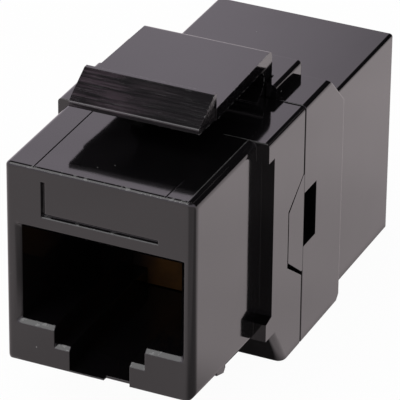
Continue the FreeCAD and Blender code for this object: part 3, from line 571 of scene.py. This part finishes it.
class CouplerStudio(bpy.types.PropertyGroup):
    """Camera, lights and backdrop."""

    azimuth: angle_prop("Azimuth", "Camera's turn to the right of the front", 24.574)
    elevation: angle_prop("Elevation", "Camera's height above the horizon", 28.684)
    roll: angle_prop("Roll", "Camera's lean to the left", 0.614)
    distance: length_prop("Distance", "Camera to the point that it looks at", 265.04)
    target: bpy.props.FloatVectorProperty(
        name="Target", description="Point that the camera looks at", subtype="XYZ", unit="LENGTH", size=3,
        default=(7.77 * MM, -18.1 * MM, 20.34 * MM),
    )
    focal_pixels: bpy.props.FloatProperty(
        name="Focal length", description="Focal length in pixels of the square image", subtype="PIXEL",
        default=3854.8,
    )
    floor_side: length_prop("Floor", "Side of the floor", 6000.0)
    floor_gap: length_prop(
        "Floor gap", "Floor below the underside, so that the two don't share a plane", 0.02,
    )
    floor_colour: colour_prop("Floor colour", "Colour of the floor", (0.92, 0.92, 0.92))
    floor_seen: share_prop("Floor white", "Share of plain white in the floor as the camera sees it", 0.965)
    floor_mirrored: share_prop(
        "Mirrored floor", "Share of even light in the floor as reflections see it", 0.95,
    )
    floor_tint: colour_prop(
        "Mirrored floor colour", "Colour of the floor in reflections", (1.0, 0.90, 0.925),
    )
    floor_near: number_prop("Floor near", "Brightness of the floor beside the object in reflections", 0.90)
    floor_far: number_prop("Floor far", "Brightness of the floor away from the object in reflections", 1.12)
    floor_spread: length_prop("Floor spread", "Distance at which the floor reaches its far brightness", 32.0)
    dim: share_prop("Dim", "How much dimmer the floor is towards the front right in reflections", 0.43)
    dim_close: share_prop(
        "Dim, close", "How much dimmer that floor is close to the front block in reflections", 0.68,
    )
    dim_inner: length_prop(
        "Dim inner", "Right side of the flange inwards to where the floor begins to be dimmer", 5.4,
    )
    dim_outer: length_prop(
        "Dim outer", "Right side of the flange outwards to where the floor is dimmest", 3.0,
    )
    dim_start: length_prop(
        "Dim start", "Middle of the object forward to where the floor begins to be dimmer", 4.0,
    )
    dim_full: length_prop("Dim full", "Middle of the object forward to where the floor is dimmest", 15.0)
    dim_fade: length_prop("Dim fade", "Middle of the object forward to the end of the close dimness", 25.0)
    dim_end: length_prop(
        "Dim end", "Middle of the object forward to where only the far dimness is left", 33.0,
    )
    under_block: share_prop(
        "Under the block", "Share of the floor's light under the raised front block", 0.5,
    )
    under_foot: share_prop(
        "Under the foot", "Share of the floor's light under the rest of the object", 0.03,
    )
    foot_start: length_prop("Foot", "Where the object begins to touch the floor, along its length", -7.0)
    foot_end: length_prop("Foot end", "Rear of the flange, behind which the object is narrower", 6.0)
    shade_edge: length_prop(
        "Shade edge", "Width of the front and rear edges of the shade under the object", 1.0,
    )
    shade_inner: length_prop("Shade inner", "Side of the flange inwards to where the shade is whole", 0.9)
    shade_outer: length_prop("Shade outer", "Side of the flange outwards to where the shade ends", 0.5)
    rear_inset: length_prop("Rear inset", "Side of the flange inwards to the side of the rear block", 1.0)
    cloud: share_prop("Cloud", "Soft unevenness of the floor and backdrop in reflections", 0.2)
    floor_cloud_density: number_prop(
        "Floor cloud density", "Cells of the unevenness to the millimetre of floor", 0.08,
    )
    backdrop_cloud_density: number_prop(
        "Backdrop cloud density", "Cells of the unevenness to the unit of direction", 14.0,
    )
    backdrop: number_prop("Backdrop", "Brightness of the backdrop in reflections", 1.16)
    backdrop_tint: colour_prop(
        "Mirrored backdrop colour", "Colour of the backdrop in reflections", (1.0, 0.905, 1.02),
    )
    flag_start: angle_prop("Flag start", "Bearing from the rear at which the dark flag begins", -25.0)
    flag_full: angle_prop("Flag full", "Bearing at which the dark flag is full", -16.0)
    flag_fade: angle_prop("Flag fade", "Bearing at which the dark flag begins to end", 60.0)
    flag_end: angle_prop("Flag end", "Bearing at which the dark flag ends", 75.0)
    flag_level: number_prop("Flag level", "Light of the dark flag in reflections", 0.02)
    ceiling: number_prop("Ceiling", "Brightness of the ceiling in reflections", 0.12)
    ceiling_edge: angle_prop("Ceiling edge", "Height above the horizon where the ceiling begins", 42.0)
    panel_start: angle_prop("Panel start", "Height angle at which the overhead panel begins", 74.0)
    panel_full: angle_prop("Panel full", "Height angle at which the overhead panel is whole", 79.0)
    panel_level: number_prop("Panel", "Light of the soft panel straight overhead in reflections", 0.8)
    ambient: number_prop("Ambient", "Strength of the even light", 0.6)
    key_direction: bpy.props.FloatVectorProperty(
        name="Key direction", description="Where the key light stands, seen from the object",
        subtype="DIRECTION", size=3, default=(-0.36, -0.48, 0.80),
    )
    key_distance: length_prop("Key distance", "Key light to the object", 450.0)
    key_size: length_prop("Key size", "Diameter of the key light", 340.0)
    key_power: bpy.props.FloatProperty(
        name="Key power", description="Power of the key light", unit="POWER", default=0.8,
    )


# Pieces
class COUPLER_OT_housings(bpy.types.Operator):
    """Finish the two housings in polished plastic"""

    bl_idname = "coupler.housings"
    bl_label = "Housings"

    saddle_rise: length_prop("Saddle", "Height of the latch saddle above the front housing", 0.95)
    rear_setback: length_prop(
        "Rear setback", "Front face to where the edges of the rear housing are rounder", 19.5,
    )
    pad_setback: length_prop("Pads", "Front face to the panel pads", 10.4)

    def execute(self, context):
        finish = context.scene.coupler_finish
        lowest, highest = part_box("front_housing")
        top = (highest.z - self.saddle_rise) / MM
        face = lowest.y / MM
        front = (top, face, face + self.pad_setback / MM)
        dress("front_housing", moulded_plastic("polished_front", finish, front=front))
        rear_start = face + self.rear_setback / MM
        dress("rear_housing", moulded_plastic("polished_rear", finish, rear_start=rear_start))
        return {"FINISHED"}


def add_rib(shape, middle, low, high, half_width, half_depth):
    """Upright rib with tapered ends from one height to another, added to a bmesh."""
    outline = (
        (0, low),
        (half_width, low + half_width),
        (half_width, high - half_width),
        (0, high),
        (-half_width, high - half_width),
        (-half_width, low + half_width),
    )
    front = [shape.verts.new(middle + Vector((x, -half_depth, z))) for x, z in outline]
    rear = [shape.verts.new(middle + Vector((x, half_depth, z))) for x, z in outline]
    shape.faces.new(front)
    shape.faces.new(reversed(rear))
    for index in range(len(outline)):
        before = index - 1
        shape.faces.new((front[before], rear[before], rear[index], front[index]))


class COUPLER_OT_seam(bpy.types.Operator):
    """Close the seam between the housings with ribs inside its gap"""

    bl_idname = "coupler.seam"
    bl_label = "Seam ribs"

    seam_setback: length_prop("Setback", "Front face to the middle of the seam's gap", 16.89)
    inset: length_prop("Inset", "Side of the flange to the middle of a rib", 0.7)
    half_width: length_prop("Half width", "Half the width of a rib", 0.25)
    half_depth: length_prop("Half depth", "Half the depth of a rib", 0.07)
    spans: bpy.props.FloatVectorProperty(
        name="Spans", description="Lower and upper end of the ribs below and above the tongues",
        unit="LENGTH", size=4, default=(0.2 * MM, 5.95 * MM, 14.4 * MM, 19.7 * MM), precision=6,
    )

    def execute(self, context):
        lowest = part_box("front_housing")[0]
        reach = (CAD_BOX[1].x - CAD_BOX[0].x) / 2 - self.inset
        shape = bmesh.new()
        for x in (-reach, reach):
            middle = Vector((x, lowest.y + self.seam_setback, 0))
            for low, high in (self.spans[:2], self.spans[2:]):
                add_rib(shape, middle, low, high, self.half_width, self.half_depth)
        bmesh.ops.recalc_face_normals(shape, faces=shape.faces)
        mesh = bpy.data.meshes.new("seam_ribs")
        shape.to_mesh(mesh)
        shape.free()
        mesh.materials.append(moulded_plastic("polished_ribs", context.scene.coupler_finish))
        piece = bpy.data.objects.new("seam_ribs", mesh)
        context.scene.collection.objects.link(piece)
        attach(piece, "housing")
        return {"FINISHED"}


class COUPLER_OT_latch(bpy.types.Operator):
    """Finish the latch, with tool marks on its ramp"""

    bl_idname = "coupler.latch"
    bl_label = "Latch"

    ramp_run: length_prop("Ramp", "Depth of the ramp behind the lip", 2.6)

    def execute(self, context):
        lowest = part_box("latch_arm")[0]
        ramp_end = (lowest.y + self.ramp_run) / MM
        finish = context.scene.coupler_finish
        dress("latch_arm", moulded_plastic("polished_latch", finish, ramp_end=ramp_end))
        return {"FINISHED"}


class COUPLER_OT_inserts(bpy.types.Operator):
    """Finish the contact blocks and the board"""

    bl_idname = "coupler.inserts"
    bl_label = "Inserts and board"

    def execute(self, context):
        finish = context.scene.coupler_finish
        satin = satin_plastic("satin_insert", finish)
        for node in INSERTS:
            dress(node, satin)
        rows = [pin_row(names)[0].z for names in (FRONT_CONTACTS, REAR_CONTACTS)]
        dress("circuit_board", board_laminate("board_mask", finish, rows, pin_row(FRONT_CONTACTS)[1]))
        return {"FINISHED"}


class COUPLER_OT_contacts(bpy.types.Operator):
    """Finish the spring contacts in gold plating"""

    bl_idname = "coupler.contacts"
    bl_label = "Contacts"

    def execute(self, context):
        material = gold_plating("gold_contact", context.scene.coupler_finish)
        for node in FRONT_CONTACTS + REAR_CONTACTS:
            dress(node, material)
        return {"FINISHED"}


def pin_row(names):
    """Middle of the first contact's pin, without its place along the part, and the pitch of the row."""
    middles = []
    for name in names:
        lowest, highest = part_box(name)
        middles.append(Vector(((lowest.x + highest.x) / 2, 0, highest.z - CONTACT_THICKNESS / 2)))
    return middles[0], (middles[-1].x - middles[0].x) / (len(middles) - 1)


def solder_tree():
    """Row of solder cones along X, built from named sizes."""
    tree = bpy.data.node_groups.new("solder_row", "GeometryNodeTree")
    interface = tree.interface
    interface.new_socket("Geometry", in_out="OUTPUT", socket_type="NodeSocketGeometry")
    for name, kind in (
        ("Start", "NodeSocketVector"),
        ("Turn", "NodeSocketRotation"),
        ("Pitch", "NodeSocketFloat"),
        ("Count", "NodeSocketInt"),
        ("Foot", "NodeSocketFloat"),
        ("Neck", "NodeSocketFloat"),
        ("Height", "NodeSocketFloat"),
        ("Solder", "NodeSocketMaterial"),
    ):
        interface.new_socket(name, in_out="INPUT", socket_type=kind)
    given = tree.nodes.new("NodeGroupInput").outputs
    step = tree.nodes.new("ShaderNodeCombineXYZ")
    line = tree.nodes.new("GeometryNodeMeshLine")
    cone = tree.nodes.new("GeometryNodeMeshCone")
    cone.inputs["Vertices"].default_value = CONE_SIDES
    copies = tree.nodes.new("GeometryNodeInstanceOnPoints")
    real = tree.nodes.new("GeometryNodeRealizeInstances")
    finish = tree.nodes.new("GeometryNodeSetMaterial")
    result = tree.nodes.new("NodeGroupOutput")
    for source, target in (
        (given["Pitch"], step.inputs["X"]),
        (given["Count"], line.inputs["Count"]),
        (given["Start"], line.inputs["Start Location"]),
        (step.outputs[0], line.inputs["Offset"]),
        (given["Foot"], cone.inputs["Radius Bottom"]),
        (given["Neck"], cone.inputs["Radius Top"]),
        (given["Height"], cone.inputs["Depth"]),
        (line.outputs["Mesh"], copies.inputs["Points"]),
        (cone.outputs["Mesh"], copies.inputs["Instance"]),
        (given["Turn"], copies.inputs["Rotation"]),
        (copies.outputs["Instances"], real.inputs["Geometry"]),
        (real.outputs["Geometry"], finish.inputs["Geometry"]),
        (given["Solder"], finish.inputs["Material"]),
        (finish.outputs["Geometry"], result.inputs["Geometry"]),
    ):
        tree.links.new(source, target)
    return tree


def grown(name, tree, values):
    """Plain mesh object made by a node tree from named values."""
    seed = bpy.data.objects.new(name, bpy.data.meshes.new(name))
    bpy.context.scene.collection.objects.link(seed)
    modifier = seed.modifiers.new("grow", "NODES")
    modifier.node_group = tree
    for item in tree.interface.items_tree:
        if item.in_out == "INPUT":
            modifier[item.identifier] = values[item.name]
    graph = bpy.context.evaluated_depsgraph_get()
    mesh = bpy.data.meshes.new_from_object(seed.evaluated_get(graph))
    seed.modifiers.clear()
    seed.data = mesh
    return seed


class COUPLER_OT_solder(bpy.types.Operator):
    """Solder the contact pins to the board"""

    bl_idname = "coupler.solder"
    bl_label = "Solder joints"

    def execute(self, context):
        sizes = context.scene.coupler_solder
        solder = solder_tin("solder_tin", context.scene.coupler_finish)
        tree = solder_tree()
        board_front, board_rear = (corner.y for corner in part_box("circuit_board"))
        quarter = math.pi / 2
        for name, contacts, face, turn in (
            ("front_pin_solder", FRONT_CONTACTS, board_rear, -quarter),
            ("rear_pin_solder", REAR_CONTACTS, board_front, quarter),
        ):
            start, pitch = pin_row(contacts)
            start.y = face
            piece = grown(name, tree, {
                "Start": start,
                "Turn": (turn, 0, 0),
                "Pitch": pitch,
                "Count": len(contacts),
                "Foot": sizes.foot,
                "Neck": sizes.neck,
                "Height": sizes.height,
                "Solder": solder,
            })
            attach(piece, "housing")
        return {"FINISHED"}


# Stage
def seen_by(graph):
    """Shares of camera rays, and of reflected or refracted rays."""
    camera, glossy, through = graph.node(
        "ShaderNodeLightPath", output=("Is Camera Ray", "Is Glossy Ray", "Is Transmission Ray"),
    )
    return camera, glossy + through


def floor_finish(studio):
    """Pale floor: nearly plain white to the camera.

    In reflections it is dark under the object, half dark under the raised front block and dim to the front
    right, most of all close to the block, and it brightens outwards.
    """
    material, graph = new_finish("studio_floor")
    camera, mirror = seen_by(graph)
    place = graph.place()
    across, along = graph.split(place, "XY")
    forward = 0 - along
    half = (CAD_BOX[1] - CAD_BOX[0]) / 2 / MM
    edge = studio.shade_edge / MM
    foot = studio.foot_start / MM
    heel = studio.foot_end / MM

    outwards = abs(across) + graph.between(along, heel - edge, heel) * (studio.rear_inset / MM)
    beside = graph.between(outwards, half.x - studio.shade_inner / MM, half.x + studio.shade_outer / MM)
    ahead = graph.between(forward, half.y - edge, half.y)
    raised = graph.between(forward, 0 - foot, edge - foot) * studio.under_block
    lit = beside.most(ahead).most(raised).most(studio.under_foot)

    reach = (across * across + along * along * (half.x / half.y)).math("SQRT")
    far = graph.between(reach, half.x, studio.floor_spread / MM)
    level = studio.floor_near + far * (studio.floor_far - studio.floor_near)

    right = graph.between(across, half.x - studio.dim_inner / MM, half.x + studio.dim_outer / MM)
    begun = graph.between(forward, studio.dim_start / MM, studio.dim_full / MM)
    close = 1 - graph.between(forward, studio.dim_fade / MM, studio.dim_end / MM)
    dim = right * begun * (studio.dim + close * (studio.dim_close - studio.dim))

    cloud = 1 + (graph.noise(place, studio.floor_cloud_density, detail=1.0) - 0.5) * studio.cloud
    mirrored = lit * level * cloud * (1 - dim)
    matte = graph.node("ShaderNodeBsdfDiffuse", sockets={"Color": opaque(studio.floor_colour)})
    tint = graph.blend(camera, opaque(studio.floor_tint), WHITE)
    strength = camera + (1 - camera) * mirrored
    white = graph.node("ShaderNodeEmission", sockets={"Color": tint, "Strength": strength})
    share = camera * studio.floor_seen + mirror * studio.floor_mirrored
    mixed = graph.node("ShaderNodeMixShader", sockets={0: share, 1: matte, 2: white})
    graph.node("ShaderNodeOutputMaterial", sockets={"Surface": mixed})
    return material


def studio_world(studio):
    """Even light with a white background.

    Reflections see a pale backdrop, a dark flag in part of it, and a dark ceiling with a panel overhead.
    """
    world = bpy.data.worlds.new("studio")
    world.use_nodes = True
    graph = Graph(world.node_tree)
    camera, mirror = seen_by(graph)
    direction = graph.node("ShaderNodeTexCoord", output="Generated")
    east, north, up = graph.split(direction)
    edge = math.sin(studio.ceiling_edge)
    overhead = graph.between(up, edge - CEILING_SOFTNESS, edge + CEILING_SOFTNESS)
    bearing = east.math("ARCTAN2", north)
    panel = graph.between(up, math.sin(studio.panel_start), math.sin(studio.panel_full))
    above = studio.ceiling + panel * (studio.panel_level - studio.ceiling)
    cloud = 1 + (graph.noise(direction, studio.backdrop_cloud_density, detail=1.0) - 0.5) * studio.cloud
    unflagged = (studio.backdrop * (1 - overhead) + overhead * above) * cloud
    flag = graph.between(bearing, studio.flag_start, studio.flag_full)
    flag = flag * (1 - graph.between(bearing, studio.flag_fade, studio.flag_end)) * (1 - panel)
    mirrored = unflagged * (1 - flag) + flag * studio.flag_level
    strength = camera + mirror * mirrored + (1 - camera - mirror) * studio.ambient
    tint = graph.blend(mirror, WHITE, opaque(studio.backdrop_tint))
    background = graph.node("ShaderNodeBackground", sockets={"Color": tint, "Strength": strength})
    graph.node("ShaderNodeOutputWorld", sockets={"Surface": background})
    return world


class COUPLER_OT_stage(bpy.types.Operator):
    """Set the floor, light and camera"""

    bl_idname = "coupler.stage"
    bl_label = "Stage"

    def execute(self, context):
        studio = context.scene.coupler_studio
        self.lay_floor(context, studio)
        self.light(context, studio)
        self.aim_camera(context, studio)
        context.scene.view_settings.view_transform = "Standard"
        return {"FINISHED"}

    def lay_floor(self, context, studio):
        half = studio.floor_side / 2
        mesh = bpy.data.meshes.new("studio_floor")
        level = -studio.floor_gap
        corners = [(-half, -half, level), (half, -half, level), (half, half, level), (-half, half, level)]
        mesh.from_pydata(corners, [], [(0, 1, 2, 3)])
        mesh.materials.append(floor_finish(studio))
        floor = bpy.data.objects.new("studio_floor", mesh)
        context.scene.collection.objects.link(floor)

    def light(self, context, studio):
        context.scene.world = studio_world(studio)
        lamp = bpy.data.lights.new("key_light", "AREA")
        lamp.shape = "DISK"
        lamp.size = studio.key_size
        lamp.energy = studio.key_power
        key = bpy.data.objects.new("key_light", lamp)
        direction = Vector(studio.key_direction).normalized()
        middle = (CAD_BOX[0] + CAD_BOX[1]) / 2
        key.location = middle + direction * studio.key_distance
        key.rotation_euler = direction.to_track_quat("Z", "Y").to_euler()
        context.scene.collection.objects.link(key)

    def aim_camera(self, context, studio):
        turn, rise = studio.azimuth, studio.elevation
        forward = Vector((-math.sin(turn) * math.cos(rise), math.cos(turn) * math.cos(rise), -math.sin(rise)))
        right = Vector((math.cos(turn), math.sin(turn), 0))
        up = right.cross(forward)
        lean = studio.roll
        right, up = right * math.cos(lean) + up * math.sin(lean), up * math.cos(lean) - right * math.sin(lean)
        lens = bpy.data.cameras.new("camera")
        lens.sensor_width = SENSOR
        lens.lens = studio.focal_pixels * SENSOR / IMAGE_SIDE
        lens.clip_start = studio.distance * NEAR_CLIP
        lens.clip_end = studio.floor_side * FAR_CLIP
        camera = bpy.data.objects.new("camera", lens)
        turned = Matrix((right, up, -forward)).transposed().to_4x4()
        camera.matrix_world = Matrix.Translation(Vector(studio.target) - forward * studio.distance) @ turned
        context.scene.collection.objects.link(camera)
        context.scene.camera = camera


class COUPLER_PT_panel(bpy.types.Panel):
    """Steps that dress the coupler"""

    bl_idname = "COUPLER_PT_panel"
    bl_label = "Coupler"
    bl_space_type = "VIEW_3D"
    bl_region_type = "UI"
    bl_category = "Coupler"

    def draw(self, context):
        for operator in OPERATORS:
            self.layout.operator(operator.bl_idname)


OPERATORS = (
    COUPLER_OT_housings,
    COUPLER_OT_seam,
    COUPLER_OT_latch,
    COUPLER_OT_inserts,
    COUPLER_OT_contacts,
    COUPLER_OT_solder,
    COUPLER_OT_stage,
)
SETTINGS = (
    ("coupler_finish", CouplerFinish),
    ("coupler_solder", CouplerSolder),
    ("coupler_studio", CouplerStudio),
)


def register():
    for name, group in SETTINGS:
        bpy.utils.register_class(group)
        setattr(bpy.types.Scene, name, bpy.props.PointerProperty(type=group))
    for operator in OPERATORS:
        bpy.utils.register_class(operator)
    bpy.utils.register_class(COUPLER_PT_panel)


def unregister():
    bpy.utils.unregister_class(COUPLER_PT_panel)
    for operator in reversed(OPERATORS):
        bpy.utils.unregister_class(operator)
    for name, group in reversed(SETTINGS):
        delattr(bpy.types.Scene, name)
        bpy.utils.unregister_class(group)


def main():
    register()
    bpy.ops.coupler.housings()
    bpy.ops.coupler.seam()
    bpy.ops.coupler.latch()
    bpy.ops.coupler.inserts()
    bpy.ops.coupler.contacts()
    bpy.ops.coupler.solder()
    bpy.ops.coupler.stage()


if __name__ == "__main__":
    main()
